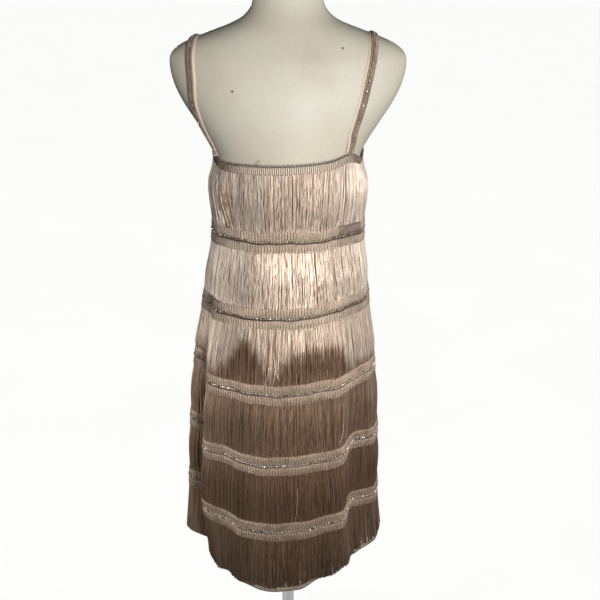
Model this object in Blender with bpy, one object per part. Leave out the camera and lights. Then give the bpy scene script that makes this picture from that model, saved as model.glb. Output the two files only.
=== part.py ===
"""A tiered fringe flapper dress on a limbless dress form with a pole stand.

Metres, +Z up, origin at the centre of the stand base's underside. The wearer's
left is +X, the back of the dress faces +Y and the front faces -Y. A place on the
cloth is given by a bearing, in degrees from +X towards +Y about the pole, and a
height, so every piece of the dress is worked out from the same two tables:
LEVELS for the figure and FOLDS for the drape.
"""

import math

import bmesh
import bpy
from mathutils import Vector
from mathutils.bvhtree import BVHTree

GAP = 0.0003  # between pieces that touch
WALL = 0.002  # base cloth
FRINGE_DEPTH = 0.005  # how far the strands stand out from the base cloth
BRAID_EDGE = 0.0022  # thickness of a gimp band at its edges
BRAID_RIDGE = 0.0036  # and at the beaded line between the two bands
BRAID_HALF = 0.0195  # half the height of a pair of bands
NECK_TAPE = 0.019  # height of the single band at the neckline
HEM_SHOWS = 0.009  # base cloth below the last fringe

SEAM_LEFT = 6.0  # bearings of the side seams
SEAM_RIGHT = 180.0
SEAM_HALF_GAP = 0.06
COLUMNS = 26  # facets across each panel

STRAP_WIDTH = 0.017
STRAP_THICK = 0.0022
STRAP_LIFT = 0.0013  # clear of the form's facets
STRAP_STATIONS = 46

FORM_COLUMNS = 44
FORM_RING_STEP = 0.016

COLLAR_HEIGHT = 0.045
COLLAR_TOP_RADIUS = 0.060
COLLAR_FOOT_RADIUS = 0.022
POLE_RADIUS = 0.0125
BASE_RADIUS = 0.160
BASE_THICK = 0.010
BASE_BEVEL = 0.003
ROUND_SIDES = 40

# Outer face of the base cloth at each level: its reach to the wearer's left and
# right, to the back and to the front, and how far a row of braid climbs from the
# left side to the right one.
LEVELS = (
    # height, left, right, back, front, climb
    (1.2500, 0.178, 0.176, 0.107, 0.119, 0.000),
    (1.1760, 0.137, 0.137, 0.108, 0.129, 0.000),
    (1.1200, 0.142, 0.142, 0.104, 0.136, 0.002),
    (1.0355, 0.138, 0.138, 0.101, 0.118, 0.004),
    (0.8985, 0.160, 0.152, 0.124, 0.122, 0.014),
    (0.7585, 0.183, 0.168, 0.145, 0.138, 0.012),
    (0.6200, 0.196, 0.178, 0.160, 0.150, 0.008),
    (0.4835, 0.204, 0.183, 0.174, 0.161, 0.010),
    (0.3550, 0.214, 0.194, 0.184, 0.170, 0.000),
)
ROWS = (1.0355, 0.8985, 0.7585, 0.6200, 0.4835)  # heights of the rows of braid
HEM = 0.3550

# Folds that hang from the hips: bearing, spread towards lower and higher
# bearings, and depth at four heights. A negative depth stands out as a ridge.
FOLD_HEIGHTS = (1.0355, 0.8985, 0.7585, 0.6200, 0.4835, 0.3550)
FOLDS = (
    # bearing, lower, higher, depths down the skirt
    (14.0, 14.0, 17.0, (0.000, 0.008, 0.024, 0.036, 0.042, 0.046)),  # left side
    (30.0, 14.0, 14.0, (0.000, 0.000, 0.000, 0.000, 0.004, 0.030)),  # hem's corner
    (46.0, 16.0, 16.0, (0.000, 0.005, 0.005, 0.009, 0.011, 0.022)),  # left of back
    (78.0, 18.0, 16.0, (0.000, 0.000, 0.000, -0.002, -0.005, -0.006)),  # mid back
    (112.0, 16.0, 18.0, (0.000, 0.000, 0.002, 0.004, 0.007, 0.018)),  # right of back
    (147.0, 24.0, 16.0, (0.003, 0.005, 0.010, 0.026, 0.034, 0.036)),  # deep back fold
    (187.0, 9.0, 9.0, (0.000, 0.002, 0.004, 0.006, 0.007, 0.008)),  # right side
    (213.0, 13.0, 16.0, (0.000, 0.000, 0.008, 0.014, 0.018, 0.022)),
    (247.0, 15.0, 15.0, (0.000, 0.000, 0.003, 0.008, 0.012, 0.016)),
    (285.0, 17.0, 15.0, (0.000, 0.000, 0.004, 0.009, 0.013, 0.018)),
    (323.0, 17.0, 13.0, (0.000, 0.003, 0.010, 0.018, 0.024, 0.028)),
)

# The neckline's top edge round the body.
NECKLINE = (
    # bearing, height
    (0.0, 1.180),
    (14.0, 1.174),
    (50.0, 1.174),
    (90.0, 1.176),
    (130.0, 1.181),
    (148.0, 1.188),
    (166.0, 1.174),
    (182.0, 1.181),
    (206.0, 1.200),
    (228.0, 1.226),
    (270.0, 1.208),
    (312.0, 1.226),
    (334.0, 1.200),
    (360.0, 1.180),
)

# The dress form's sections.
FORM = (
    # height, half width, back, front
    (0.7400, 0.128, 0.092, 0.086),
    (0.7600, 0.138, 0.100, 0.094),
    (0.8200, 0.143, 0.108, 0.102),
    (0.8900, 0.141, 0.110, 0.105),
    (0.9600, 0.130, 0.100, 0.102),
    (1.0350, 0.117, 0.088, 0.094),
    (1.0900, 0.122, 0.092, 0.112),
    (1.1400, 0.128, 0.098, 0.125),
    (1.1750, 0.130, 0.1005, 0.119),
    (1.2000, 0.142, 0.1015, 0.110),
    (1.2320, 0.162, 0.1030, 0.103),
    (1.2670, 0.184, 0.102, 0.098),
    (1.3010, 0.199, 0.096, 0.090),
    (1.3350, 0.204, 0.086, 0.084),
    (1.3520, 0.197, 0.078, 0.080),
    (1.3680, 0.173, 0.070, 0.076),
    (1.3840, 0.131, 0.062, 0.073),
    (1.4010, 0.087, 0.053, 0.070),
    (1.4170, 0.067, 0.046, 0.067),
    (1.4320, 0.060, 0.042, 0.065),
    (1.4620, 0.056, 0.039, 0.063),
)
FORM_TOP = FORM[-1][0]
FORM_FOOT = FORM[0][0]

# Where each strap runs over the form, from the back neckline to the front one:
# its bearing on the neckline at both ends, then points near the form's surface.
STRAPS = {
    "strap_left": (
        13.0,
        312.0,
        (
            (0.142, 0.032, 1.215),
            (0.158, 0.048, 1.265),
            (0.163, 0.056, 1.315),
            (0.161, 0.030, 1.362),
            (0.158, -0.010, 1.372),
            (0.153, -0.045, 1.350),
            (0.138, -0.075, 1.300),
            (0.114, -0.104, 1.250),
        ),
    ),
    "strap_right": (
        148.0,
        228.0,
        (
            (-0.118, 0.080, 1.225),
            (-0.128, 0.084, 1.265),
            (-0.137, 0.076, 1.315),
            (-0.143, 0.038, 1.368),
            (-0.144, -0.008, 1.378),
            (-0.141, -0.045, 1.358),
            (-0.131, -0.080, 1.300),
            (-0.112, -0.104, 1.250),
        ),
    ),
}

# Linear colour, roughness and metallic value of each finish.
FINISHES = {
    "form_foam": ((0.66, 0.62, 0.53), 0.60, 0.0),
    "base_cloth": ((0.21, 0.15, 0.115), 0.60, 0.0),
    "fringe": ((0.34, 0.25, 0.20), 0.42, 0.0),
    "gimp": ((0.27, 0.20, 0.15), 0.50, 0.1),
    "stand_paint": ((0.70, 0.69, 0.66), 0.35, 0.0),
}


def clear_scene():
    for thing in list(bpy.data.objects):
        bpy.data.objects.remove(thing, do_unlink=True)


def finish(name):
    """The Principled material of a finish, made once."""
    found = bpy.data.materials.get(name)
    if found:
        return found
    colour, roughness, metallic = FINISHES[name]
    material = bpy.data.materials.new(name)
    material.use_nodes = True
    shader = material.node_tree.nodes["Principled BSDF"]
    shader.inputs["Base Color"].default_value = (*colour, 1.0)
    shader.inputs["Roughness"].default_value = roughness
    shader.inputs["Metallic"].default_value = metallic
    material.diffuse_color = (*colour, 1.0)
    return material


def add_object(name, points, faces, material, sharp_deg=35.0):
    """A closed mesh object with its faces turned outward."""
    mesh = bpy.data.meshes.new(name)
    mesh.from_pydata([tuple(point) for point in points], [], faces)
    shape = bmesh.new()
    shape.from_mesh(mesh)
    bmesh.ops.recalc_face_normals(shape, faces=shape.faces)
    shape.to_mesh(mesh)
    shape.free()
    mesh.shade_smooth()
    mesh.set_sharp_from_angle(angle=math.radians(sharp_deg))
    mesh.materials.append(finish(material))
    thing = bpy.data.objects.new(name, mesh)
    bpy.context.scene.collection.objects.link(thing)
    return thing


def curve_at(places, values, at):
    """A smooth value through (place, value) pairs, whose places rise or fall."""
    if places[0] > places[-1]:
        places, values = places[::-1], values[::-1]
    if at <= places[0]:
        return values[0]
    if at >= places[-1]:
        return values[-1]
    last = len(places) - 1
    i = next(k for k in range(last) if at <= places[k + 1])
    span = places[i + 1] - places[i]

    def slope(k):
        before, after = max(k - 1, 0), min(k + 1, last)
        return (values[after] - values[before]) / (places[after] - places[before])

    t = (at - places[i]) / span
    start, end = values[i], values[i + 1]
    rise = t * t * (3 - 2 * t)
    lean = t * (1 - t) * ((1 - t) * slope(i) - t * slope(i + 1)) * span
    return start + (end - start) * rise + lean


def column(table, index):
    return [row[index] for row in table]


def base_radius(bearing, height):
    """Reach of the cloth's outer face before any fold."""
    heights = column(LEVELS, 0)
    across, along = math.cos(math.radians(bearing)), math.sin(math.radians(bearing))
    side = curve_at(heights, column(LEVELS, 1 if across > 0 else 2), height)
    end = curve_at(heights, column(LEVELS, 3 if along > 0 else 4), height)
    return 1 / math.hypot(across / side, along / end)


def fold_depth(bearing, height):
    depth = 0.0
    for centre, lower, higher, depths in FOLDS:
        offset = (bearing - centre + 180) % 360 - 180
        reach = abs(offset) / (lower if offset < 0 else higher)
        if reach < 1:
            bump = 0.5 + 0.5 * math.cos(math.pi * reach)
            depth += bump * curve_at(FOLD_HEIGHTS, depths, height)
    return depth


def cloth_point(bearing, height, out=0.0):
    """A point on the base cloth's outer face, moved out from the pole."""
    reach = base_radius(bearing, height) - fold_depth(bearing, height) + out
    turn = math.radians(bearing)
    return Vector((reach * math.cos(turn), reach * math.sin(turn), height))


def row_height(level, bearing):
    """Height of a level line, which climbs towards the right side."""
    climb = curve_at(column(LEVELS, 0), column(LEVELS, 5), level)
    return level + climb * (0.5 - 0.5 * math.cos(math.radians(bearing))) ** 2


def neck_height(bearing):
    return curve_at(column(NECKLINE, 0), column(NECKLINE, 1), bearing % 360)


def neck_edge(drop):
    return lambda bearing: neck_height(bearing) - drop


def row_edge(level, drop):
    return lambda bearing: row_height(level, bearing) - drop


def panel_bearings(side):
    start, end = (SEAM_LEFT, SEAM_RIGHT) if side == "back" else (SEAM_RIGHT, SEAM_LEFT + 360)
    start += SEAM_HALF_GAP
    end -= SEAM_HALF_GAP
    return [start + (end - start) * i / COLUMNS for i in range(COLUMNS + 1)]


def closed_loft(name, loop_at, bearings, material):
    """A closed solid: loop_at(bearing) gives its cross-section at a bearing.

    Every facet is cut from its upper corner at one bearing to its lower corner at
    the next, so that the faces of two pieces that lie together stay parallel."""
    loops = [loop_at(bearing) for bearing in bearings]
    size = len(loops[0])
    points = [point for loop in loops for point in loop]
    faces = []
    for i in range(len(loops) - 1):
        for j in range(size):
            here, there = i * size + j, i * size + (j + 1) % size
            if j < size // 2:
                faces += [(here, there, there + size), (here, there + size, here + size)]
            else:
                faces += [(here, there, here + size), (there, there + size, here + size)]
    last = (len(loops) - 1) * size
    faces += ladder(range(size)) + ladder(range(last, last + size))
    return add_object(name, points, faces, material)


def ladder(loop):
    """Quads across a loop whose two halves face each other."""
    loop = list(loop)
    rungs = len(loop) // 2
    faces = []
    for k in range(rungs - 1):
        faces.append((loop[k], loop[k + 1], loop[-k - 2], loop[-k - 1]))
    if len(loop) % 2:
        faces.append((loop[rungs - 1], loop[rungs], loop[rungs + 1]))
    return faces


def wall_loop(edges, inner, outer):
    """The cross-section of a strip: down its outer face, then up its inner one.

    edges are heights as functions of the bearing, top to bottom, and inner and
    outer say how far each face stands out at each of them."""

    def loop_at(bearing):
        down = [cloth_point(bearing, edge(bearing), out) for edge, out in zip(edges, outer)]
        up = [cloth_point(bearing, edge(bearing), out) for edge, out in zip(edges, inner)]
        return down + up[::-1]

    return loop_at


def lower_by(edge, drop):
    return lambda bearing: edge(bearing) - drop


def halfway(upper, lower):
    return lambda bearing: (upper(bearing) + lower(bearing)) / 2


def tier_edges(number):
    """Edges of a tier of fringe: the first follows the bust with one more between."""
    if number == 1:
        top, foot = neck_edge(NECK_TAPE), row_edge(ROWS[0], -BRAID_HALF)
        return [top, halfway(top, foot), foot]
    top = row_edge(ROWS[number - 2], BRAID_HALF)
    if number <= len(ROWS):
        return [top, row_edge(ROWS[number - 1], -BRAID_HALF)]
    return [top, row_edge(HEM, -HEM_SHOWS)]


def panel_edges():
    edges = [neck_edge(0)]
    for number in range(1, len(ROWS) + 2):
        edges += tier_edges(number)
        if number <= len(ROWS):
            edges.append(row_edge(ROWS[number - 1], 0))
    return edges + [row_edge(HEM, 0)]


def add_panel(side):
    edges = panel_edges()
    inner = [-WALL] * len(edges)
    outer = [0.0] * len(edges)
    loop_at = wall_loop(edges, inner, outer)
    closed_loft(f"{side}_panel", loop_at, panel_bearings(side), "base_cloth")


def add_neck_tape(side):
    edges = [neck_edge(0), neck_edge(NECK_TAPE)]
    outer = [GAP + BRAID_EDGE] * 2
    loop_at = wall_loop(edges, [GAP] * 2, outer)
    closed_loft(f"neck_braid_{side}", loop_at, panel_bearings(side), "gimp")


def add_braid(number, level, side):
    edges = [row_edge(level, -BRAID_HALF), row_edge(level, 0), row_edge(level, BRAID_HALF)]
    outer = [GAP + BRAID_EDGE, GAP + BRAID_RIDGE, GAP + BRAID_EDGE]
    loop_at = wall_loop(edges, [GAP] * 3, outer)
    closed_loft(f"braid_{number}_{side}", loop_at, panel_bearings(side), "gimp")


def add_fringe(number, side):
    """The strands between one row of braid and the next, as one plain solid."""
    top, *middle, foot = tier_edges(number)
    if number <= len(ROWS):
        foot = lower_by(foot, -GAP)
    edges = [lower_by(top, GAP), *middle, foot]
    loop_at = wall_loop(edges, [GAP] * len(edges), [GAP + FRINGE_DEPTH] * len(edges))
    closed_loft(f"fringe_{number}_{side}", loop_at, panel_bearings(side), "fringe")


def form_ring(height):
    heights = column(FORM, 0)
    half, back, front = (curve_at(heights, column(FORM, k), height) for k in (1, 2, 3))
    ring = []
    for i in range(FORM_COLUMNS):
        turn = 2 * math.pi * i / FORM_COLUMNS
        depth = back if math.sin(turn) > 0 else front
        ring.append(Vector((half * math.cos(turn), depth * math.sin(turn), height)))
    return ring


def form_heights():
    """The table's own heights, with others between them where they lie far apart."""
    heights = [FORM_FOOT]
    for height in column(FORM, 0)[1:]:
        steps = max(1, round((height - heights[-1]) / FORM_RING_STEP / 2))
        low = heights[-1]
        heights += [low + (height - low) * (k + 1) / steps for k in range(steps)]
    return heights


def add_form():
    rings = [form_ring(height) for height in form_heights()]
    points = [point for ring in rings for point in ring]
    size = FORM_COLUMNS
    faces = []
    for i in range(len(rings) - 1):
        for j in range(size):
            here, there = i * size + j, i * size + (j + 1) % size
            faces.append((here, there, there + size, here + size))
    last = (len(rings) - 1) * size
    faces += [tuple(range(size)), tuple(range(last, last + size))]
    return add_object("dress_form", points, faces, "form_foam")


def smooth_path(knots, stations):
    """Evenly numbered points along a smooth curve through the knots."""
    places = list(range(len(knots)))
    coords = [[knot[axis] for knot in knots] for axis in range(3)]
    last = len(knots) - 1
    path = []
    for i in range(stations + 1):
        at = last * i / stations
        path.append(Vector([curve_at(places, values, at) for values in coords]))
    return path


def strap_row(surface, centre, along):
    """Left, middle and right of the strap at a station, lying on the form."""
    near, normal, _, _ = surface.find_nearest(centre)
    across = normal.cross(along).normalized() * STRAP_WIDTH / 2
    row = []
    for offset in (-across, Vector(), across):
        place, facing, _, _ = surface.find_nearest(near + offset)
        row.append((place, (facing + normal).normalized()))
    return row


def strap_foot(bearing, goes_up):
    """The strap's end on the neckline, ordered as strap_row orders it."""
    reach = base_radius(bearing, neck_height(bearing))
    half_turn = math.degrees(STRAP_WIDTH / 2 / reach)
    bearings = [bearing - half_turn, bearing, bearing + half_turn]
    if goes_up:
        bearings.reverse()
    return [
        (
            cloth_point(at, neck_height(at) + GAP, -WALL),
            cloth_point(at, neck_height(at) + GAP, STRAP_THICK - WALL),
        )
        for at in bearings
    ]


def add_strap(name, back_bearing, front_bearing, knots, surface):
    back_foot = cloth_point(back_bearing, neck_height(back_bearing))
    front_foot = cloth_point(front_bearing, neck_height(front_bearing))
    path = smooth_path([back_foot, *knots, front_foot], STRAP_STATIONS)
    rows = [strap_foot(back_bearing, goes_up=True)]
    for i in range(2, STRAP_STATIONS - 1):
        along = (path[i + 1] - path[i - 1]).normalized()
        rows.append([
            (place + facing * STRAP_LIFT, place + facing * (STRAP_LIFT + STRAP_THICK))
            for place, facing in strap_row(surface, path[i], along)
        ])
    rows.append(strap_foot(front_bearing, goes_up=False))
    loops = [[under for under, _ in row] + [over for _, over in row[::-1]] for row in rows]
    points = [point for loop in loops for point in loop]
    size = len(loops[0])
    faces = []
    for i in range(len(loops) - 1):
        for j in range(size):
            here, there = i * size + j, i * size + (j + 1) % size
            faces.append((here, there, there + size, here + size))
    last = (len(loops) - 1) * size
    faces += ladder(range(size)) + ladder(range(last, last + size))
    add_object(name, points, faces, "gimp")


def add_turned(name, profile, material):
    """A solid turned about the pole's axis, from (radius, height) pairs."""
    points = []
    for radius, height in profile:
        for i in range(ROUND_SIDES):
            turn = 2 * math.pi * i / ROUND_SIDES
            points.append((radius * math.cos(turn), radius * math.sin(turn), height))
    faces = []
    for i in range(len(profile) - 1):
        for j in range(ROUND_SIDES):
            here = i * ROUND_SIDES + j
            there = i * ROUND_SIDES + (j + 1) % ROUND_SIDES
            faces.append((here, there, there + ROUND_SIDES, here + ROUND_SIDES))
    last = (len(profile) - 1) * ROUND_SIDES
    faces += [tuple(range(ROUND_SIDES)), tuple(range(last, last + ROUND_SIDES))]
    add_object(name, points, faces, material)


def add_stand():
    base_profile = (
        (BASE_RADIUS, 0.0),
        (BASE_RADIUS, BASE_THICK - BASE_BEVEL),
        (BASE_RADIUS - BASE_BEVEL, BASE_THICK),
    )
    add_turned("stand_base", base_profile, "stand_paint")
    collar_foot = FORM_FOOT - GAP - COLLAR_HEIGHT
    pole_profile = ((POLE_RADIUS, BASE_THICK + GAP), (POLE_RADIUS, collar_foot - GAP))
    add_turned("stand_pole", pole_profile, "stand_paint")
    collar_profile = (
        (COLLAR_FOOT_RADIUS, collar_foot),
        (COLLAR_FOOT_RADIUS, collar_foot + COLLAR_HEIGHT / 2),
        (COLLAR_TOP_RADIUS, FORM_FOOT - GAP - COLLAR_HEIGHT / 6),
        (COLLAR_TOP_RADIUS, FORM_FOOT - GAP),
    )
    add_turned("stand_collar", collar_profile, "stand_paint")


def main():
    clear_scene()
    form = add_form()
    form_surface = BVHTree.FromPolygons(
        [vertex.co for vertex in form.data.vertices],
        [tuple(face.vertices) for face in form.data.polygons],
    )
    add_stand()
    for side in ("back", "front"):
        add_panel(side)
        add_neck_tape(side)
        for number, level in enumerate(ROWS, start=2):
            add_braid(number, level, side)
        for number in range(1, len(ROWS) + 2):
            add_fringe(number, side)
    for name, (back_bearing, front_bearing, knots) in STRAPS.items():
        add_strap(name, back_bearing, front_bearing, knots, form_surface)


main()
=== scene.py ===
"""The looks of a tiered fringe flapper dress on a limbless dress form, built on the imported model.

Metres, +Z up. The back of the dress faces +Y and the wearer's left is +X. A place on the cloth is
a bearing, in degrees from +X towards +Y, and a height: cloth() turns them into points."""

import bpy
import numpy as np
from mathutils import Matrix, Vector
from mathutils.bvhtree import BVHTree


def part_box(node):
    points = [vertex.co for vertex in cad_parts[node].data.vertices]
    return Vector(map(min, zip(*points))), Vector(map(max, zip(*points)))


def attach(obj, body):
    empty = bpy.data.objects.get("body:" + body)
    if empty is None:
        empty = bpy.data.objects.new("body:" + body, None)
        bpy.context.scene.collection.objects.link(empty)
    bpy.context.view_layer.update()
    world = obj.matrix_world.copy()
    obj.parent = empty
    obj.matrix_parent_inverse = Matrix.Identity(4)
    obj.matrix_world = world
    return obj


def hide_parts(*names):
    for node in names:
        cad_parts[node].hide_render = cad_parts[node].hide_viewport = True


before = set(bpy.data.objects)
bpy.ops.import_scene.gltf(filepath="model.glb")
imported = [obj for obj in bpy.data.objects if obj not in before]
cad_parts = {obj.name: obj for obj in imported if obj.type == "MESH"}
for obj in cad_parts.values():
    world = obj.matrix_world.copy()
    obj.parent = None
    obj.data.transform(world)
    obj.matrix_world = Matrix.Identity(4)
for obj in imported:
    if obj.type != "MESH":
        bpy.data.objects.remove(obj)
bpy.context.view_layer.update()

SIDES = ("back", "front")

# Outer face of the base cloth at each level, the folds that hang from the hips, the neckline and
# the form's sections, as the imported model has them.
LEVELS = np.array((
    # height, left, right, back, front, climb
    (1.2500, 0.178, 0.176, 0.107, 0.119, 0.000),
    (1.1760, 0.137, 0.137, 0.108, 0.129, 0.000),
    (1.1200, 0.142, 0.142, 0.104, 0.136, 0.002),
    (1.0355, 0.138, 0.138, 0.101, 0.118, 0.004),
    (0.8985, 0.160, 0.152, 0.124, 0.122, 0.014),
    (0.7585, 0.183, 0.168, 0.145, 0.138, 0.012),
    (0.6200, 0.196, 0.178, 0.160, 0.150, 0.008),
    (0.4835, 0.204, 0.183, 0.174, 0.161, 0.010),
    (0.3550, 0.214, 0.194, 0.184, 0.170, 0.000),
))
ROWS = (1.0355, 0.8985, 0.7585, 0.6200, 0.4835)
HEM = 0.3550
FOLD_HEIGHTS = (*ROWS, HEM)
FOLDS = (
    # bearing, lower, higher, depths down the skirt
    (14, 14, 17, (0, 0.008, 0.024, 0.036, 0.042, 0.046)),
    (30, 14, 14, (0, 0, 0, 0, 0.004, 0.030)),
    (46, 16, 16, (0, 0.005, 0.005, 0.009, 0.011, 0.022)),
    (78, 18, 16, (0, 0, 0, -0.002, -0.005, -0.006)),
    (112, 16, 18, (0, 0, 0.002, 0.004, 0.007, 0.018)),
    (147, 24, 16, (0.003, 0.005, 0.010, 0.026, 0.034, 0.036)),
    (187, 9, 9, (0, 0.002, 0.004, 0.006, 0.007, 0.008)),
    (213, 13, 16, (0, 0, 0.008, 0.014, 0.018, 0.022)),
    (247, 15, 15, (0, 0, 0.003, 0.008, 0.012, 0.016)),
    (285, 17, 15, (0, 0, 0.004, 0.009, 0.013, 0.018)),
    (323, 17, 13, (0, 0.003, 0.010, 0.018, 0.024, 0.028)),
)
NECKLINE = np.array((
    # bearing, height
    (0, 1.18), (14, 1.174), (50, 1.174), (90, 1.176), (130, 1.181), (148, 1.188), (166, 1.174),
    (182, 1.181), (206, 1.2), (228, 1.226), (270, 1.208), (312, 1.226), (334, 1.2), (360, 1.18),
))
FORM = np.array((
    # height, half width, back, front
    (0.7400, 0.128, 0.092, 0.086),
    (0.7600, 0.138, 0.100, 0.094),
    (0.8200, 0.143, 0.108, 0.102),
    (0.8900, 0.141, 0.110, 0.105),
    (0.9600, 0.130, 0.100, 0.102),
    (1.0350, 0.117, 0.088, 0.094),
    (1.0900, 0.122, 0.092, 0.112),
    (1.1400, 0.128, 0.098, 0.125),
    (1.1750, 0.130, 0.1005, 0.119),
    (1.2000, 0.142, 0.1015, 0.110),
    (1.2320, 0.162, 0.1030, 0.103),
    (1.2670, 0.184, 0.102, 0.098),
    (1.3010, 0.199, 0.096, 0.090),
    (1.3350, 0.204, 0.086, 0.084),
    (1.3520, 0.197, 0.078, 0.080),
    (1.3680, 0.173, 0.070, 0.076),
    (1.3840, 0.131, 0.062, 0.073),
    (1.4010, 0.087, 0.053, 0.070),
    (1.4170, 0.067, 0.046, 0.067),
    (1.4320, 0.060, 0.042, 0.065),
    (1.4620, 0.056, 0.039, 0.063),
))
STRAPS = {
    # name: bearings of its ends on the neckline, and where it runs over the form
    "left": (13.0, 312.0, (
        (0.142, 0.032, 1.215), (0.158, 0.048, 1.265), (0.163, 0.056, 1.315),
        (0.161, 0.030, 1.362), (0.158, -0.010, 1.372), (0.153, -0.045, 1.350),
        (0.138, -0.075, 1.300), (0.114, -0.104, 1.250),
    )),
    "right": (148.0, 228.0, (
        (-0.118, 0.080, 1.225), (-0.128, 0.084, 1.265), (-0.137, 0.076, 1.315),
        (-0.143, 0.038, 1.368), (-0.144, -0.008, 1.378), (-0.141, -0.045, 1.358),
        (-0.131, -0.080, 1.300), (-0.112, -0.104, 1.250),
    )),
}
HEM_RISES = np.array((
    # bearing, how far the side drapes lift the hem there
    (0, 0.016), (12, 0.01), (32, 0), (50, 0.003), (62, 0.006), (74, 0.001), (92, 0), (104, 0.004),
    (118, 0.009), (122, 0.018), (126, 0.026), (130, 0.024), (134, 0.021), (138, 0.014),
    (142, 0.01), (146, 0.006), (150, 0.006), (154, 0.015), (158, 0.023), (162, 0.028),
    (166, 0.03), (180, 0.026), (192, 0.018), (214, 0), (330, 0), (346, 0.014), (360, 0.016),
))
SEAM_LEFT = 6.0
SEAM_RIGHT = 180.0
SEAM_LIFT = 0.018
SEAM_REACH, SEAM_FADE = 27.0, 17.0  # degrees from the left side
FORM_GAP = 0.0016
HUG_FROM, HUG_OVER = 52.0, 28.0  # degrees from centre back where the top edge closes on the form
HUG_BELOW = 0.045
WANDERS = (
    # height, waves round the skirt, shift from row to row
    (0.0009, 7, 1.7),
    (0.0006, 17, 2.9),
)

FIRST_LOW = 4  # the first of the three lowest rows, whose gimp is flatter, and its cord painted darker as the shade on the lower rows
NECK_TAPE = 0.019
TAPE_GATHER, GATHER_REACH = 0.008, 38.0
BRAID_HALF = 0.0195
HEM_SHOWS = np.array((
    # bearing, how much of the hem shows under the lowest strands
    (0, 0.005), (60, 0.004), (74, 0.011), (104, 0.011), (115, 0.003), (142, 0.003), (151, 0.01),
    (176, 0.01), (192, 0.004), (250, 0.008), (300, 0.004), (360, 0.005),
))
HEM_BAND = 0.019
CLOTH_THICK = 0.0012

# The gimp: one cord that runs up and down across its band, over a woven backing; the upper rows'
# backing is dark, partly its own colour and partly painted shade in the gaps between the cord's
# loops.
GIMP_LOOP = 0.0052  # from one loop of the cord to the next
GIMP_SPREAD = 0.42  # the share of that between a loop's own two legs
GIMP_RADIUS = 0.00096
GIMP_CLOSE = 0.00128  # the same cord where it is flattened, on the three lowest rows
NECK_CORD = 0.00076
NECK_LOOP = 0.0072
LOOSE_END = (64.0, 0.010)  # bearing, length
STRAP_STEP = 0.0018
TAPE_ENDS = (
    # row, its bearings, where the tape's two ends lap over each other
    (2, 139.0, 163.0),
    (3, 19.0, 33.0),
)
LAP_LIFT = 0.0016
GIMP_OUT = 0.0026
BEAD_GAP = 0.0021  # from a row's middle line to each of its two bands
SCALLOP = 0.0050  # how far the loops of the neckline's tape stand above the cloth
BEAD_RADIUS = 0.0014
BEAD_LOW = 0.0017  # the beads of the three lowest rows
BEAD_PITCH = 0.0038
BEAD_CORD = 0.0010
BEAD_OUT, CORD_OUT = 0.0038, 0.0028
BEAD_RISE, CORD_DROP = 0.0015, 0.0013  # from the row's middle line
STRAP_HALF = 0.0082
STRAP_GAP = 0.0006  # between the form and the strap
STRAP_TURN = 0.60  # where the strap's tape ends on the neck side, and its lining shows
STRAP_CORD = 0.00092
STRAP_BEAD = 0.65 * BEAD_RADIUS
SEEDS = {"neck": 11, "gimp": 20, "strap": 70, "beads": 90, "strap_beads": 150, "fringe": 300}

# The fringe: strands in layers, from the inner one out.
LAST = 6  # the lowest tier, whose strands hang free
TUCK = 0.003  # how far a tier's ends run in under the braid
STRAND_PITCHES = (0.0021, 0.0016, 0.0015)
STRAND_RADIUS = 0.00074
STRAND_OUTS = (0.0008, 0.0014, 0.0020)
STRAND_ENDS = 0.004  # a ring this near each end keeps the end's own shading off the strand
STRAND_STATIONS = np.array((0, STRAND_ENDS, 1 / 6, 2 / 6, 3 / 6, 4 / 6, 5 / 6, 1 - STRAND_ENDS, 1))
TIER_SHEEN_AND_SHADE = (0.92, 0.92, 0.82, 0.46, 0.35, 0.45)  # how light each tier's strands are painted: sheen on the upper tiers, shade on the lower ones, over one fringe colour
TONE_SPREADS = (0.17, 0.15, 0.13, 0.09, 0.07, 0.07)
CRIMPS = (0.0009, 0.0008, 0.0006, 0.0004, 0.0004, 0.0004)  # how far a tier's strands wave
CREST_SHADE = 0.46  # how much darker the third tier is painted under its crest: painted shade where its strands fall back in, away from the light
LOCK_STEP, LOCK_WIDENS = 0.006, 0.003  # between the inner layer's locks, and more in each outer one
SLACK = 0.0024  # how far a tier's strands stand out at their crest
CREST_SLACK = (0.0028, 0.0040)  # the same in the third tier, and more where its crest is high
# Lighter and darker parted locks at random, and painted shade in the creases of the first tier's
# caught locks, darker towards their foot
PARTED_TONE, CAUGHT_SHADE = 0.28, 0.55
# The first tier's locks that are caught under the second row: bearing, width, shift.
SWEPT = (27.0, 20.0, 0.015)
STRAYS = (
    # tier, from bearing and share of the way down, to bearing and share, how far it stands out
    (3, 79.5, 0.40, 83.5, 0.86, 0.0050),
    (3, 76.0, 0.66, 73.5, 0.98, 0.0036),
    (3, 80.5, 0.70, 79.0, 1.00, 0.0034),
    (4, 131.0, 0.35, 126.0, 0.90, 0.0034),
    (5, 96.0, 0.30, 94.5, 0.96, 0.0034),
    (1, 86.0, 0.45, 84.0, 0.80, 0.0040),
)
LOCKS = (163.0, 20.0)  # where the lowest tier hangs in parted locks: bearing, width
CRESTS = np.array((
    # bearing, how far down the third tier its strands stand out most
    (0, 0.85), (28, 0.85), (40, 0.78), (47, 0.5), (56, 0.12), (66, 0.42), (73, 0.7), (78, 0.94),
    (83, 0.72), (90, 0.5), (99, 0.42), (116, 0.37), (130, 0.44), (137, 0.76), (146, 0.9),
    (200, 0.85), (238, 0.3), (262, 0.8), (290, 0.4), (315, 0.85), (360, 0.85),
))


# -------- surfaces


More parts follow.
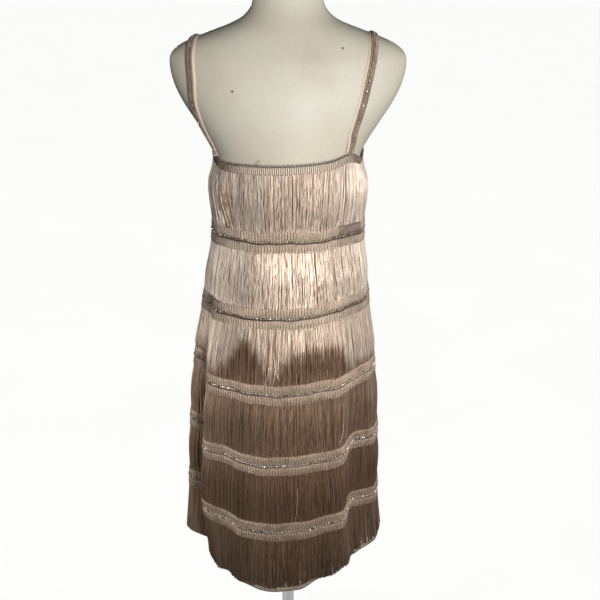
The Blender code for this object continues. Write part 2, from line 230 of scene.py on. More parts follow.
def curve(places, values, at):
    """Smooth values through (place, value) pairs, whose places rise or fall."""
    places, values = np.asarray(places, float), np.asarray(values, float)
    if places[0] > places[-1]:
        places, values = places[::-1], values[::-1]
    last = len(places) - 1
    index = np.arange(last + 1)
    before, after = np.maximum(index - 1, 0), np.minimum(index + 1, last)
    slope = (values[after] - values[before]) / (places[after] - places[before])
    at = np.asarray(at, float)
    i = np.clip(np.searchsorted(places, at, side="right") - 1, 0, last - 1)
    span = places[i + 1] - places[i]
    t = np.clip((at - places[i]) / span, 0, 1)
    rise = t * t * (3 - 2 * t)
    lean = t * (1 - t) * ((1 - t) * slope[i] - t * slope[i + 1]) * span
    return values[i] + (values[i + 1] - values[i]) * rise + lean


def smooth(share):
    share = np.clip(share, 0, 1)
    return share * share * (3 - 2 * share)


def section(table, columns, height):
    """A section's measures at a height, from the table's columns."""
    return [curve(table[:, 0], table[:, column], height) for column in columns]


def apart(bearing, other):
    """Degrees from one bearing to another, with a sign."""
    return (bearing - other + 180) % 360 - 180


def ellipse_reach(bearing, left, right, back, front):
    turn = np.radians(bearing)
    across, along = np.cos(turn), np.sin(turn)
    return 1 / np.hypot(
        across / np.where(across > 0, left, right), along / np.where(along > 0, back, front)
    )


def form_reach(bearing, height):
    half, back, front = section(FORM, (1, 2, 3), height)
    return ellipse_reach(bearing, half, half, back, front)


def cloth_reach(bearing, height):
    """Distance from the pole to the base cloth. Away from the back its top edge hugs the form."""
    reach = ellipse_reach(bearing, *section(LEVELS, (1, 2, 3, 4), height))
    for centre, lower, higher, depths in FOLDS:
        offset = apart(bearing, centre)
        share = np.minimum(np.abs(offset) / np.where(offset < 0, lower, higher), 1)
        bump = 0.5 + 0.5 * np.cos(np.pi * share)
        reach = reach - bump * curve(FOLD_HEIGHTS, depths, height)
    around = smooth((np.abs(apart(bearing, 90)) - HUG_FROM) / HUG_OVER)
    share = around * smooth((height - neck_height(bearing)) / HUG_BELOW + 1)
    return reach - share * np.maximum(reach - form_reach(bearing, height) - FORM_GAP, 0)


def round_points(turn, across, along, height):
    """Points round the pole at an angle in radians, on an ellipse with these half axes."""
    axes = across * np.cos(turn), along * np.sin(turn), height
    return np.stack(np.broadcast_arrays(*axes), axis=-1)


def cloth(bearing, height, out=0.0):
    """Points on the base cloth's outer face, moved out from the pole."""
    bearing, height, out = np.broadcast_arrays(bearing, height, out)
    reach = cloth_reach(bearing, height) + out
    return round_points(np.radians(bearing), reach, reach, height)


def neck_height(bearing):
    return curve(*NECKLINE.T, np.asarray(bearing, float) % 360)


def row_height(level, bearing):
    climb, = section(LEVELS, (5,), level)
    return level + climb * (0.5 - 0.5 * np.cos(np.radians(bearing))) ** 2


def wander(number, bearing):
    """How far a row sewn by hand strays from its level."""
    turn = np.radians(bearing)
    return sum(
        height * np.sin(waves * turn + shift * number) for height, waves, shift in WANDERS
    )


def seam_lift(number, bearing):
    """How far the lower rows are drawn up beside the left seam."""
    if number < FIRST_LOW:
        return 0.0
    return SEAM_LIFT * smooth((SEAM_REACH - np.abs(apart(bearing, 0))) / SEAM_FADE)


def neck_tape(bearing):
    """The neckline tape's height, which the underarm seams gather in."""
    from_seam = np.minimum(np.abs(apart(bearing, SEAM_RIGHT)), np.abs(apart(bearing, 0)))
    return NECK_TAPE - TAPE_GATHER * smooth(1 - from_seam / GATHER_REACH)


def row_line(number, drop=0.0):
    """A row's height as a function of the bearing. Row 1 is the neckline's top edge, and row 7
    the hem."""
    if number == 1:
        return lambda bearing: neck_height(bearing) - drop
    if number == 7:
        return lambda bearing: row_height(HEM, bearing) + curve(*HEM_RISES.T, bearing % 360) - drop
    level = ROWS[number - 2]
    return lambda bearing: (
        row_height(level, bearing) + wander(number, bearing) + seam_lift(number, bearing) - drop
    )


def side_range(side):
    return (SEAM_LEFT, SEAM_RIGHT) if side == "back" else (SEAM_RIGHT, SEAM_LEFT + 360)


def arc_bearings(span, line):
    """Arc lengths along a line on the cloth, and the bearings they belong to."""
    bearings = np.linspace(*span, 1500)
    points = cloth(bearings, line(bearings))
    steps = np.linalg.norm(np.diff(points, axis=0), axis=1)
    return np.concatenate([[0.0], np.cumsum(steps)]), bearings


# -------- meshes


def add_object(name, data):
    thing = bpy.data.objects.new(name, data)
    bpy.context.scene.collection.objects.link(thing)
    return thing


def add_mesh(name, points, faces, materials, rounded=True, indices=None, tone=None):
    """One object from arrays: faces is a list of (count, corners) index arrays, and tone a
    number for each point that its material reads. A rounded mesh's quads are smooth."""
    mesh = bpy.data.meshes.new(name)
    points = np.asarray(points, np.float32).reshape(-1, 3)
    mesh.vertices.add(len(points))
    mesh.vertices.foreach_set("co", points.ravel())
    corners = np.concatenate([block.ravel() for block in faces]).astype(np.int32)
    sizes = np.concatenate([np.full(len(block), block.shape[1]) for block in faces])
    mesh.loops.add(len(corners))
    mesh.loops.foreach_set("vertex_index", corners)
    mesh.polygons.add(len(sizes))
    starts = np.concatenate([[0], np.cumsum(sizes)[:-1]]).astype(np.int32)
    mesh.polygons.foreach_set("loop_start", starts)
    for material in materials:
        mesh.materials.append(material)
    if indices is not None:
        mesh.polygons.foreach_set("material_index", np.asarray(indices, np.int32))
    mesh.polygons.foreach_set("use_smooth", (sizes == 4) & rounded)
    if tone is not None:
        mesh.attributes.new("tone", "FLOAT", "POINT").data.foreach_set(
            "value", np.asarray(tone, np.float32).ravel()
        )
    mesh.update(calc_edges=True)
    return add_object(name, mesh)


def add_parts(name, parts, materials, tones=None):
    """One object from (points, faces, material index) parts. tones gives its points' tones."""
    points, faces, indices = join_arrays(parts)
    tone = tones(points) if tones else None
    return add_mesh(name, points, faces, materials, indices=indices, tone=tone)


def full_tones(points):
    return np.ones(len(points))


def unit(vectors):
    return vectors / np.maximum(np.linalg.norm(vectors, axis=-1, keepdims=True), 1e-12)


def tube_arrays(paths, radii, facing, sides):
    """Points and faces of closed tubes: paths and facing are (tubes, stations, 3)."""
    count, stations = paths.shape[:2]
    along = unit(np.gradient(paths, axis=1))
    across = unit(np.cross(along, facing))
    outward = np.cross(across, along)
    turns = 2 * np.pi * np.arange(sides) / sides
    radii = np.broadcast_to(radii, (count, stations))[:, :, None, None]
    rings = paths[:, :, None, :] + radii * (
        np.cos(turns)[:, None] * outward[:, :, None, :]
        + np.sin(turns)[:, None] * across[:, :, None, :]
    )
    index = np.arange(count * stations * sides).reshape(count, stations, sides)
    here, there = index[:, :-1], np.roll(index, -1, axis=2)[:, :-1]
    above, beyond = index[:, 1:], np.roll(index, -1, axis=2)[:, 1:]
    quads = np.stack([here, there, beyond, above], axis=-1).reshape(-1, 4)
    caps = np.concatenate([index[:, 0, ::-1], index[:, -1]])
    return rings.reshape(-1, 3), [quads, caps]


def join_arrays(parts):
    """Joins (points, faces, material index) parts into one set of arrays."""
    points, faces, indices, base = [], [], [], 0
    for part_points, part_faces, slot in parts:
        part_points = np.asarray(part_points).reshape(-1, 3)
        points.append(part_points)
        for block in part_faces:
            faces.append(block + base)
            indices.append(np.full(len(block), slot))
        base += len(part_points)
    return np.concatenate(points), faces, np.concatenate(indices)


def wall_arrays(outer, inner):
    """A closed wall between two grids of points of one shape, (columns, rows, 3)."""
    columns, rows = outer.shape[:2]
    front = np.arange(columns * rows).reshape(columns, rows)
    back = front + columns * rows
    faces = []

    def add_quads(near, far, flip):
        corners = [near[:-1], near[1:], far[1:], far[:-1]]
        corners = [corners[k] for k in (0, 3, 2, 1)] if flip else corners
        faces.append(np.stack(corners, axis=-1).reshape(-1, 4))

    add_quads(front[:, :-1], front[:, 1:], True)
    add_quads(back[:, :-1], back[:, 1:], False)
    add_quads(front[:, 0], back[:, 0], False)
    add_quads(front[:, -1], back[:, -1], True)
    add_quads(front[0], back[0], True)
    add_quads(front[-1], back[-1], False)
    points = np.concatenate([outer.reshape(-1, 3), inner.reshape(-1, 3)])
    return points, faces


def turned_faces(rings, sides):
    """Faces of a closed turned shape, whose rings go up: its side, its top and its foot."""
    index = np.arange(rings * sides).reshape(rings, sides)
    around = np.roll(index, -1, axis=1)
    quads = np.stack([index[:-1], around[:-1], around[1:], index[1:]], axis=-1).reshape(-1, 4)
    return [quads, index[-1][None, :], index[0][None, ::-1]]


def band_grid(span, upper, lower, columns, rows, out):
    """Points over a band of the cloth between two lines, (columns, rows, 3)."""
    bearings = np.linspace(*span, columns)[:, None]
    down = np.linspace(0, 1, rows)[None, :]
    heights = upper(bearings) * (1 - down) + lower(bearings) * down
    return cloth(np.broadcast_to(bearings, heights.shape), heights, out)


# -------- materials

WHITE = (1.0, 1.0, 1.0)
BLACK = (0.0, 0.0, 0.0)
FORM_MARKS = (
    # across, height, radius, soft edge, strength, colour, of two marks and three stains behind
    (-0.090, 1.360, 0.0014, 0.0012, 0.9, (0.10, 0.09, 0.08)),
    (0.092, 1.293, 0.0016, 0.0014, 0.9, (0.10, 0.09, 0.08)),
    (-0.068, 1.309, 0.002, 0.014, 0.3, (0.40, 0.38, 0.34)),
    (-0.075, 1.296, 0.002, 0.008, 0.25, (0.42, 0.39, 0.35)),
    (0.013, 1.208, 0.002, 0.010, 0.2, (0.45, 0.42, 0.36)),
)


class Nodes:
    """A material's Principled shader and the nodes that feed it."""

    def __init__(self, name, **constants):
        self.material = bpy.data.materials.new(name)
        self.material.use_nodes = True
        self.tree = self.material.node_tree
        self.shader = self.tree.nodes["Principled BSDF"]
        for key, value in constants.items():
            self.shader.inputs[key.replace("_", " ")].default_value = value
        self.place = self.add("TexCoord", {}, "Object")

    def feed(self, socket, value):
        """Links an output to the socket, or sets a constant on it."""
        if isinstance(value, bpy.types.NodeSocket):
            self.tree.links.new(value, socket)
        else:
            socket.default_value = (*value, 1.0) if socket.type == "RGBA" else value

    def add(self, kind, inputs, output, **settings):
        """Adds a node with these settings and inputs, and returns one of its outputs."""
        node = self.tree.nodes.new("ShaderNode" + kind)
        for key, value in settings.items():
            setattr(node, key, value)
        for key, value in inputs.items():
            self.feed(node.inputs[key], value)
        return node.outputs[output]

    def noise(self, scale, detail):
        """Noise with its own scale along each axis, in cycles a metre."""
        place = self.add("Mapping", {"Vector": self.place, "Scale": scale}, "Vector")
        inputs = {"Vector": place, "Scale": 1.0, "Detail": detail, "Roughness": 0.55}
        return self.add("TexNoise", inputs, "Fac")

    def tone(self):
        return self.add("Attribute", {}, "Fac", attribute_name="tone")

    def ramp(self, value, *stops):
        """Colours at places along a value: stops are (place, (r, g, b))."""
        node = self.tree.nodes.new("ShaderNodeValToRGB")
        elements = node.color_ramp.elements
        while len(elements) < len(stops):
            elements.new(0.5)
        for element, (at, colour) in zip(elements, stops):
            element.position = at
            element.color = (*colour, 1.0)
        self.feed(node.inputs["Fac"], value)
        return node.outputs["Color"]

    def spread(self, value, low, high):
        return self.add("MapRange", {"Value": value, "To Min": low, "To Max": high}, "Result")

    def mix(self, share, first, second, blend="MIX"):
        inputs = {0: share, 6: first, 7: second}
        return self.add("Mix", inputs, 2, data_type="RGBA", blend_type=blend)

    def spot(self, centre, radius, soft):
        """1 within a radius of a point, falling to 0 over a soft edge."""
        away = self.add("VectorMath", {0: self.place, 1: centre}, "Value", operation="DISTANCE")
        inputs = {"Value": away, "From Min": radius, "From Max": radius + soft}
        inputs.update({"To Min": 1.0, "To Max": 0.0})
        return self.add("MapRange", inputs, "Result", interpolation_type="SMOOTHSTEP")

    def surface(self, colour, rough=None, relief=None):
        """The finished material. rough is (value, low, high), and relief is (value, distance,
        strength)."""
        self.feed(self.shader.inputs["Base Color"], colour)
        if rough:
            self.feed(self.shader.inputs["Roughness"], self.spread(*rough))
        if relief:
            inputs = dict(zip(("Height", "Distance", "Strength"), relief))
            self.feed(self.shader.inputs["Normal"], self.add("Bump", inputs, "Normal"))
        return self.material


def fringe_material():
    nodes = Nodes("rayon_fringe", Metallic=0.86)
    lock = nodes.noise((230, 230, 26), 2.0)
    grain = nodes.noise((700, 700, 90), 2.0)
    # The tone attribute runs from painted shade, dark brown, to painted sheen, champagne
    tone = nodes.ramp(
        nodes.tone(), (0.0, (0.165, 0.083, 0.036)), (0.5, (0.49, 0.345, 0.243)),
        (1.0, (0.94, 0.83, 0.73)),
    )
    shade = nodes.ramp(lock, (0.30, (0.80, 0.77, 0.74)), (0.65, WHITE))
    colour = nodes.mix(1.0, tone, shade, "MULTIPLY")
    return nodes.surface(colour, (lock, 0.54, 0.44), (grain, 0.0003, 0.5))


def cloth_material():
    nodes = Nodes("base_cloth", Sheen_Weight=0.25, Sheen_Roughness=0.5)
    weave = nodes.noise((1600, 1600, 1600), 2.0)
    patch = nodes.noise((30, 30, 30), 3.0)
    tone = nodes.ramp(weave, (0.35, (0.13, 0.09, 0.065)), (0.65, (0.25, 0.185, 0.145)))
    shade = nodes.ramp(patch, (0.3, (0.82, 0.8, 0.78)), (0.7, WHITE))
    colour = nodes.mix(1.0, tone, shade, "MULTIPLY")
    return nodes.surface(colour, (patch, 0.75, 0.6), (weave, 0.0006, 0.8))


def gimp_material(name, dark, light, metallic):
    nodes = Nodes(name, Metallic=metallic)
    twist = nodes.noise((700, 700, 1100), 2.0)
    patch = nodes.noise((60, 60, 60), 2.0)
    cord = nodes.ramp(twist, (0.32, dark), (0.62, light))
    shade = nodes.ramp(patch, (0.3, (0.72, 0.69, 0.66)), (0.7, WHITE))
    # the tone attribute: painted shade towards the side seams, and the darker laps
    side = nodes.ramp(nodes.tone(), (0.0, BLACK), (1.0, WHITE))
    shade = nodes.mix(1.0, shade, side, "MULTIPLY")
    colour = nodes.mix(1.0, cord, shade, "MULTIPLY")
    return nodes.surface(colour, (twist, 0.60, 0.45), (twist, 0.0004, 0.6))


def hem_material():
    nodes = Nodes("hem_weave", Metallic=0.2)
    warp = nodes.noise((420, 420, 900), 1.0)
    weft = nodes.noise((900, 900, 260), 1.0)
    weave = nodes.mix(0.5, warp, weft)
    colour = nodes.ramp(weave, (0.38, (0.16, 0.12, 0.09)), (0.6, (0.62, 0.52, 0.42)))
    return nodes.surface(colour, (weave, 0.75, 0.55), (weave, 0.0006, 0.9))


def woven_material(name, dark, light, rough=(0.85, 0.7), relief=(0.0004, 0.7), **constants):
    nodes = Nodes(name, **constants)
    weave = nodes.noise((1500, 1500, 1500), 2.0)
    colour = nodes.ramp(weave, (0.35, dark), (0.65, light))
    return nodes.surface(colour, (weave, *rough), (weave, *relief))


def bead_material(name, low, high, rough):
    nodes = Nodes(name, Metallic=0.5)
    grain = nodes.noise((500, 500, 500), 1.0)
    return nodes.surface(nodes.ramp(grain, (0.35, low), (0.65, high)), (grain, rough, rough * 0.6))


def form_material():
    nodes = Nodes("form_skin", IOR=1.45, Specular_IOR_Level=0.3)
    mottle = nodes.noise((9, 9, 9), 4.0)
    grain = nodes.noise((260, 260, 260), 2.0)
    tone = nodes.ramp(
        mottle, (0.30, (0.465, 0.43, 0.355)), (0.50, (0.51, 0.475, 0.395)),
        (0.70, (0.52, 0.50, 0.44)),
    )
    fine = nodes.ramp(grain, (0.3, (0.95, 0.95, 0.94)), (0.7, WHITE))
    tone = nodes.mix(1.0, tone, fine, "MULTIPLY")
    for across, height, radius, soft, share, colour in FORM_MARKS:
        half, back = section(FORM, (1, 2), height)
        centre = (across, back * np.sqrt(1 - (across / half) ** 2), height)
        share_at = nodes.spread(nodes.spot(centre, radius, soft), 0.0, share)
        tone = nodes.mix(share_at, tone, colour)
    return nodes.surface(tone, (mottle, 0.62, 0.5), (grain, 0.0003, 0.25))


def paint_material():
    nodes = Nodes("stand_paint", Coat_Weight=0.2, Coat_Roughness=0.2)
    orange_peel = nodes.noise((400, 400, 400), 1.0)
    wear = nodes.noise((14, 14, 14), 4.0)
    colour = nodes.ramp(wear, (0.3, (0.80, 0.79, 0.77)), (0.7, (0.86, 0.85, 0.83)))
    return nodes.surface(colour, (wear, 0.42, 0.3), (orange_peel, 0.0001, 0.3))


def floor_material():
    nodes = Nodes("floor", Specular_IOR_Level=0.1, Roughness=0.9)
    speckle = nodes.noise((1.5, 1.5, 1.5), 3.0)
    return nodes.surface(
        nodes.ramp(speckle, (0.3, (0.86, 0.86, 0.855)), (0.7, (0.88, 0.88, 0.875)))
    )


FRINGE = fringe_material()
CLOTH = cloth_material()
HEM_WEAVE = hem_material()
GIMP = gimp_material("gimp_cord", (0.44, 0.34, 0.26), (0.88, 0.74, 0.61), 0.6)
# A darker copy of the gimp's cord for the three lowest rows: painted shade where less light falls
GIMP_LOW_SHADED = gimp_material("gimp_low_shaded_cord", (0.33, 0.245, 0.183), (0.65, 0.52, 0.415), 0.6)
NECK_GIMP = gimp_material("gimp_neck_cord", (0.09, 0.065, 0.045), (0.25, 0.19, 0.145), 0.2)
# The straps' cord, a darker copy of the rows': painted shade, which keeps the straps near the key
# lamp from lighting up
STRAP_GIMP_SHADED = gimp_material("gimp_strap_shaded_cord", (0.22, 0.165, 0.125), (0.52, 0.41, 0.33), 0.4)
# Dark, partly the backing's own colour and partly painted shade in the gaps between the cord's
# loops
BACKING_GAP_SHADE = woven_material("gimp_backing_gap_shade", (0.12, 0.085, 0.06), (0.22, 0.165, 0.12))
BACKING_LOW = woven_material("gimp_low_backing", (0.20, 0.15, 0.11), (0.34, 0.27, 0.21))
NECK_GROUND = woven_material("gimp_neck_ground", (0.50, 0.40, 0.32), (0.82, 0.70, 0.60))
LINING = woven_material(
    "strap_lining", (0.49, 0.38, 0.31), (0.67, 0.54, 0.45), (0.7, 0.5), (0.0003, 0.5),
    Sheen_Weight=0.2,
)
BEAD_DARK = bead_material("bead_bronze", (0.20, 0.145, 0.10), (0.34, 0.26, 0.19), 0.45)
# The cord under the beads, drawn dark as the painted shade in the bead line's recess
BEAD_SHADE_CORD = bead_material("bead_thread_shade", (0.065, 0.047, 0.034), (0.14, 0.10, 0.075), 0.7)
# Beads in a light champagne colour: painted glints among the dark bronze ones
BEAD_GLINT = bead_material("bead_painted_glint", (0.60, 0.49, 0.38), (0.86, 0.76, 0.64), 0.4)
FORM_SKIN = form_material()
PAINT = paint_material()


def keep(piece, replaced):
    """Rides the piece on the one body, in place of the CAD nodes that it stands for."""
    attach(piece, "root")
    if replaced:
        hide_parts(*replaced)
    return piece


# -------- the form and its stand


def add_form():
    rings, sides = 150, 120
    heights = np.linspace(FORM[0, 0], FORM[-1, 0], rings)[:, None]
    turn = 2 * np.pi * np.arange(sides)[None, :] / sides
    half, back, front = section(FORM, (1, 2, 3), heights)
    depth = np.where(np.sin(turn) > 0, back, front)
    points = round_points(turn, half, depth, heights).reshape(-1, 3)
    faces = turned_faces(rings, sides)
    form = add_mesh("form_torso", points, faces, [FORM_SKIN])
    bevel = form.modifiers.new("rim", "BEVEL")
    bevel.width = 0.004
    bevel.segments = 3
    bevel.limit_method = "ANGLE"
    bevel.angle_limit = 0.9
    keep(form, ["dress_form"])
    return BVHTree.FromPolygons(
        [Vector(point) for point in points], [tuple(face) for face in faces[0]]
    )


def add_turned(name, node, profile):
    """A piece of the stand, turned from its profile's (radius, height) points, foot to top."""
    profile = np.array(profile)
    sides = 96
    turn = 2 * np.pi * np.arange(sides) / sides
    radii, heights = profile[:, :1], profile[:, 1:]
    points = round_points(turn, radii, radii, heights)
    piece = add_mesh(name, points, turned_faces(len(profile), sides), [PAINT])
    piece.data.set_sharp_from_angle(angle=0.6)
    keep(piece, [node])


def add_stand():
    low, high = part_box("stand_base")
    radius, top = high.x, high.z
    edge = 0.003
    arc = np.linspace(0, np.pi / 2, 6)
    rim = [(radius - edge + edge * np.cos(a), top - edge + edge * np.sin(a)) for a in arc]
    add_turned("base_plate", "stand_base", [(radius, low.z), *rim, (0.030, top), (0.0135, top)])
    low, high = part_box("stand_pole")
    add_turned("pole", "stand_pole", [(high.x, low.z), (high.x, high.z)])
    low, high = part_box("stand_collar")
    foot = 0.022
    span = high.z - low.z
    flare = [
        (foot + (high.x - foot) * t ** 2, low.z + span * (0.4 + 0.35 * t))
        for t in np.linspace(0, 1, 8)
    ]
    add_turned("collar", "stand_collar", [(foot, low.z), *flare, (high.x, high.z)])


# -------- cloth, braid, beads


def shell_arrays(span, upper, lower, columns, rows, outs):
    """The arrays of a closed shell over a band of the cloth, between two distances out from it."""
    return wall_arrays(*(band_grid(span, upper, lower, columns, rows, out) for out in outs))


def add_cloth(side):
    """A panel of base cloth, and the woven hem band sewn along its foot."""
    columns = 110
    span = side_range(side)
    panel = row_line(1, SCALLOP), row_line(7)
    hem = row_line(7, -HEM_BAND), row_line(7, -0.0002)
    parts = [
        (*shell_arrays(span, *panel, columns, 44, (0.0, -CLOTH_THICK)), 0),
        (*shell_arrays(span, *hem, columns, 5, (0.0011, 0.0001)), 1),
    ]
    piece = add_parts(f"cloth_{side}", parts, [CLOTH, HEM_WEAVE])
    return keep(piece, [f"{side}_panel"])


def serpentine(loops, seed, spread=0.5):
    """A cord's path in hairpin loops across its band: place along in loops, and height from 0
    to 1. A loop's two legs are its spread apart, and it closes at the top."""
    rng = np.random.default_rng(seed)
    leg = np.array((0.08, 0.50, 0.92))
    rise = np.concatenate([leg, [0.985], leg[::-1], [0.015]])
    place = np.array((-1, -1, -1, 0, 1, 1, 1, 0)) * spread / 2 + 0.5
    place[-1] = 1.0
    places = (np.arange(loops)[:, None] + place).ravel()
    heights = np.tile(rise, loops)
    places = places + rng.normal(0, 0.02, len(places))
    heights = heights + rng.normal(0, 0.008, len(heights))
    return places, np.clip(heights, 0, 1)


def gimp_band(span, upper, lower, seed, cord, flip=False, scallop=0.0004, lift=0.0):
    """The cord and the backing of one band of gimp between two lines on the cloth. The cord is
    its radius, its loops' period and their spread."""
    radius, period, spread = cord

    def middle(bearing):
        return (upper(bearing) + lower(bearing)) / 2

    lengths, bearings = arc_bearings(span, middle)
    loops = int(lengths[-1] / period)
    places, heights = serpentine(loops, seed, spread)
    heights = 1 - heights if flip else heights
    at = np.interp(places * lengths[-1] / loops, lengths, bearings)
    low = lower(at) + radius
    high = upper(at) - radius
    out = GIMP_OUT + lift + 0.0005 * np.sin(np.pi * heights)
    path = cloth(at, low + (high - low) * heights, out)[None]
    facing = cloth(at, low, 1.0)[None] - cloth(at, low, 0.0)[None]
    backing = inset(upper, scallop), inset(lower, -0.0004)
    columns = 4 + int((span[1] - span[0]) * 0.6)
    shell = shell_arrays(span, *backing, columns, 3, (0.0021 + lift, 0.0013 + lift))
    return [(*tube_arrays(path, radius, facing, 5), 0), (*shell, 1)]


def gimp_tones(points, number):
    """How light the gimp is at each point: the two upper rows are painted darker towards the side
    seams, as shade where the body turns from the light, and darker where their ends lap."""
    if number >= FIRST_LOW:
        return full_tones(points)
    bearing = np.degrees(np.arctan2(points[:, 1], points[:, 0])) % 360
    from_centre = np.minimum(np.abs(bearing - 90), np.abs(bearing - 270))
    upper = smooth((points[:, 2] - row_line(number)(bearing)) / 0.002 + 0.5)
    # painted shade towards the side seams
    tones = 1 - 0.34 * smooth((from_centre - 34) / 34)
    for row, start, end in TAPE_ENDS:
        if row == number:
            inside = smooth((bearing - start) / 3 + 1) * smooth((end - bearing) / 3 + 1)
            tones = tones - 0.24 * inside * upper
    return tones


def inset(line, drop):
    return lambda bearing: line(bearing) - drop


def add_neck_gimp(side):
    top = row_line(1)

    def foot(bearing):
        return top(bearing) - neck_tape(bearing % 360)

    seed = SEEDS["neck"] + SIDES.index(side)
    cord = NECK_CORD, NECK_LOOP, 0.5
    parts = gimp_band(side_range(side), top, foot, seed, cord, scallop=SCALLOP)
    if side == "back":
        parts.append((*loose_end(top), 0))
    piece = add_parts(f"gimp_neck_{side}", parts, [NECK_GIMP, NECK_GROUND], full_tones)
    return keep(piece, [f"neck_braid_{side}"])


def loose_end(top):
    """The arrays of a cord's end that has worked loose and stands up from the neckline."""
    bearing, rise = LOOSE_END
    along = np.linspace(0, 1, 7)
    at = bearing + 1.6 * along ** 2
    path = cloth(at, top(at) - 0.003 + rise * along, GIMP_OUT + 0.003 * np.sin(np.pi * along))[None]
    facing = cloth(at, top(at), 1.0)[None] - path
    return tube_arrays(path, NECK_CORD * 0.7, facing, 5)


def add_row_gimp(number, side):
    line = row_line(number)
    low = number >= FIRST_LOW
    seed = SEEDS["gimp"] + 4 * number + 2 * SIDES.index(side)
    cord = (GIMP_CLOSE if low else GIMP_RADIUS), GIMP_LOOP, GIMP_SPREAD
    upper, lower = inset(line, -BEAD_GAP), inset(line, BEAD_GAP)
    span = side_range(side)
    parts = gimp_band(span, inset(line, -BRAID_HALF), upper, seed, cord)
    parts += gimp_band(span, lower, inset(line, BRAID_HALF), seed + 1, cord, flip=True)
    for row, start, end in TAPE_ENDS:
        if row == number and span[0] <= start < span[1]:
            lap = inset(line, -BRAID_HALF - 0.0012), inset(line, -BEAD_GAP - 0.001)
            parts += gimp_band((start, end), *lap, seed + 2, cord, lift=LAP_LIFT)
    materials = [GIMP_LOW_SHADED, BACKING_LOW] if low else [GIMP, BACKING_GAP_SHADE]
    name = f"gimp_{number}_{side}"
    piece = add_parts(name, parts, materials, lambda points: gimp_tones(points, number))
    return keep(piece, [f"braid_{number}_{side}"])


def bead_arrays(centres, radius, seed, glint_share):
    """Small faceted beads, each turned its own way, and which of them take the painted glint
    colour.
    """
    rng = np.random.default_rng(seed)
    golden = (1 + 5 ** 0.5) / 2
    third = np.array([(-1, golden, 0), (1, golden, 0), (-1, -golden, 0), (1, -golden, 0)])
    corners = unit(np.concatenate([np.roll(third, shift, axis=1) for shift in range(3)]))
    facets = np.array([
        (0, 11, 5), (0, 5, 1), (0, 1, 7), (0, 7, 10), (0, 10, 11), (1, 5, 9), (5, 11, 4),
        (11, 10, 2), (10, 7, 6), (7, 1, 8), (3, 9, 4), (3, 4, 2), (3, 2, 6), (3, 6, 8),
        (3, 8, 9), (4, 9, 5), (2, 4, 11), (6, 2, 10), (8, 6, 7), (9, 8, 1),
    ])
    count = len(centres)
    spin = rng.uniform(0, 2 * np.pi, (count, 3))
    cos, sin = np.cos(spin), np.sin(spin)
    shape = np.broadcast_to(corners, (count, 12, 3)).copy()
    for axis in range(3):
        a, b = (axis + 1) % 3, (axis + 2) % 3
        first, second = shape[..., a].copy(), shape[..., b].copy()
        shape[..., a] = cos[:, axis, None] * first - sin[:, axis, None] * second
        shape[..., b] = sin[:, axis, None] * first + cos[:, axis, None] * second
    sizes = radius * rng.uniform(0.85, 1.1, (count, 1, 1))
    points = centres[:, None, :] + shape * sizes
    faces = (facets[None] + 12 * np.arange(count)[:, None, None]).reshape(-1, 3)
    # which beads take the painted glint colour
    light = np.repeat(rng.random(count) < glint_share, len(facets)).astype(int)
    return points, faces, light


def add_beads(number, side):
    line = row_line(number)
    lengths, bearings = arc_bearings(side_range(side), line)
    seed = SEEDS["beads"] + 2 * number + SIDES.index(side)
    rng = np.random.default_rng(seed)
    count = int(lengths[-1] / BEAD_PITCH)
    places = (np.arange(count) + 0.5 + rng.normal(0, 0.08, count)) * lengths[-1] / count
    at = np.interp(places, lengths, bearings)
    heights = line(at) + BEAD_RISE + rng.normal(0, 0.0003, count)
    centres = cloth(at, heights, BEAD_OUT)
    cord_at = np.linspace(bearings[0], bearings[-1], 160)
    path = cloth(cord_at, line(cord_at) - CORD_DROP, CORD_OUT)[None]
    facing = cloth(cord_at, line(cord_at), 1.0)[None] - path
    # Painted glints: more beads take the glint colour where the light catches them, near the middle
    # of the upper rows and away from the left seam on the lower ones
    if number < FIRST_LOW:
        from_centre = np.abs(at - (90 if side == "back" else 270))
        radius, glint_share = BEAD_RADIUS, 0.85 - 0.6 * smooth((from_centre - 30) / 30)
    else:
        from_left = np.abs(apart(at, 0))
        radius, glint_share = BEAD_LOW, 0.35 + 0.5 * smooth((from_left - 20) / 20)
    beads = bead_arrays(centres, radius, seed, glint_share)
    cord = tube_arrays(path, BEAD_CORD, facing, 6)
    return add_bead_line(f"beads_{number}_{side}", beads, cord)


def add_bead_line(name, beads, cord):
    """One piece from a row's beads, some in the painted glint colour, and the cord that they are
    sewn along, drawn dark and thick as the painted shade in the recess under the beads.
    """
    points, faces, kinds = beads
    all_points, all_faces, _ = join_arrays([(points, [faces], 0), (*cord, 0)])
    indices = np.concatenate([kinds, np.full(sum(len(block) for block in cord[1]), 2)])
    materials = [BEAD_DARK, BEAD_GLINT, BEAD_SHADE_CORD]
    piece = add_mesh(name, all_points, all_faces, materials, rounded=False, indices=indices)
    return keep(piece, [])


# -------- fringe


def soft_noise(rng, at, step):
    """Smooth noise about 0 along a line, with a new value each step."""
    low = at.min() - step
    knots = np.arange(low, at.max() + 2 * step, step)
    return np.interp(at, knots, rng.normal(0, 1, len(knots)))


def crest_place(number, bearing):
    """How far down a tier its strands stand out most. Below it they fall back in."""
    if number == 3:
        return np.interp(bearing % 360, CRESTS[:, 0], CRESTS[:, 1])
    return np.full_like(bearing, 0.62 if number < 3 else 0.45)


def tier_edges(number):
    """The lines where a tier's strands start and end."""
    def top(bearing):
        depth = neck_tape(bearing % 360) if number == 1 else BRAID_HALF
        return row_line(number, depth - TUCK)(bearing)

    def foot(bearing):
        if number == LAST:
            return row_line(7)(bearing) + curve(*HEM_SHOWS.T, bearing % 360)
        return row_line(number + 1, TUCK - BRAID_HALF)(bearing)

    return top, foot


